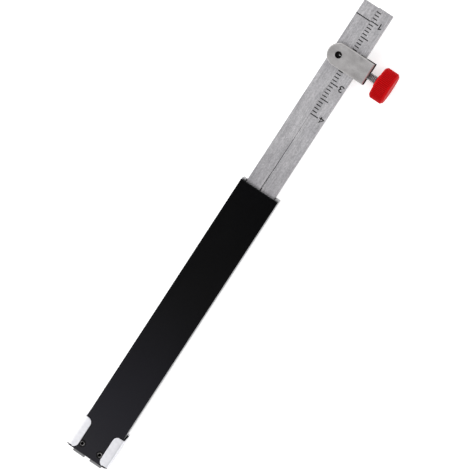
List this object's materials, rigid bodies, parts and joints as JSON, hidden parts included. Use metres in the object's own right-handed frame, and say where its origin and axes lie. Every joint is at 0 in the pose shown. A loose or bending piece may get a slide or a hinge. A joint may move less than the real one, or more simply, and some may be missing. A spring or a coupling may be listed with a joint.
{
  "type": "weld gauge",
  "caption": "Pocket weld gauge: graduated steel blades that slide on each other, locked by a thumb screw in a clamp yoke, in a flat black sheath with a spring pocket clip.",
  "frame": {"origin": "middle of the whole gauge's box as seen from above, on the surface that it lies on", "axes": "+X to the thumb screw, +Y along the blades to the scale end, +Z out of the sheath's black front"},
  "size_m": [0.0214, 0.1488, 0.0095],
  "materials": {
    "bright_aluminium": "bright, drawn along its length",
    "black_plate": "satin black with a soft sheen",
    "rivet_steel": "blackened",
    "clip_steel": "bright nickel",
    "blade_steel": "fine sandblasted",
    "yoke_steel": "satin",
    "pin_steel": "plain spring steel",
    "screw_steel": "bright zinc",
    "red_plastic": "moulded, ribbed",
    "pad_brass": "turned"
  },
  "bodies": {
    "sheath": {"sheath_channel": "bright_aluminium", "front_plate": "black_plate", "sheath_rivets": "rivet_steel", "pocket_clip": "clip_steel"},
    "index_arm": {"index_blade": "blade_steel", "clamp_yoke": "yoke_steel", "roll_pin": "pin_steel"},
    "scale_arm": {"scale_blade": "blade_steel"},
    "pad": {"pressure_pad": "pad_brass"},
    "thumb_screw": {"clamp_screw": "screw_steel", "clamp_knob": "red_plastic"}
  },
  "joints": [
    {"name": "blade_slide", "type": "slide", "parent": "sheath", "child": "index_arm", "axis": [0, 1, 0], "range_m": [0, 0.083]},
    {"name": "scale_slide", "type": "slide", "parent": "index_arm", "child": "scale_arm", "axis": [0, 1, 0], "range_m": [0, 0.03]},
    {"name": "screw_travel", "type": "slide", "parent": "index_arm", "child": "pad", "axis": [1, 0, 0], "range_m": [0, 0.0009]},
    {"name": "screw_turn", "type": "hinge", "parent": "pad", "child": "thumb_screw", "pos_m": [0, 0.05738, 0.00475], "axis": [1, 0, 0], "range_deg": [0, 720]}
  ],
  "couplings": [
    {"joint": "screw_turn", "follows": "screw_travel", "rad_per_m": 13963}
  ]
}
